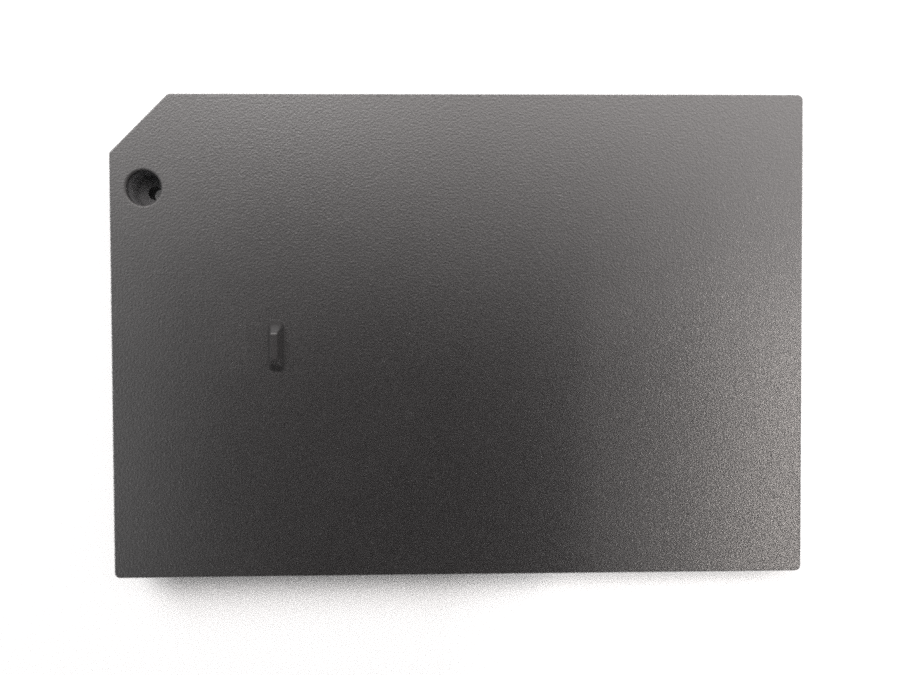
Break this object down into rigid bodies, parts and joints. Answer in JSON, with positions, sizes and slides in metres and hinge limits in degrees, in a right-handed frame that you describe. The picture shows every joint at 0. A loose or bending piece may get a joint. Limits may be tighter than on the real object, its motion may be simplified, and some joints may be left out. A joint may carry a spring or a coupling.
{
  "type": "laptop drive bay cover",
  "caption": "Flat moulded cover for a laptop drive bay, with a cut corner, a sunk screw seat, a raised thumb bar, a locating rib and edge hooks.",
  "frame": {"origin": "under the middle of the plate, level with the foot of the screw boss", "axes": "+X along the cover, away from the screw; +Y across it, towards the cut corner's long side; +Z out of the textured outer face"},
  "size_m": [0.113, 0.0786, 0.0097],
  "materials": {
    "black_plastic": "fine spark-eroded grain on the outer face, smooth on the inner side, in the screw seat and on the thumb bar"
  },
  "bodies": {
    "root": {"drive_bay_cover": "black_plastic"}
  },
  "joints": []
}
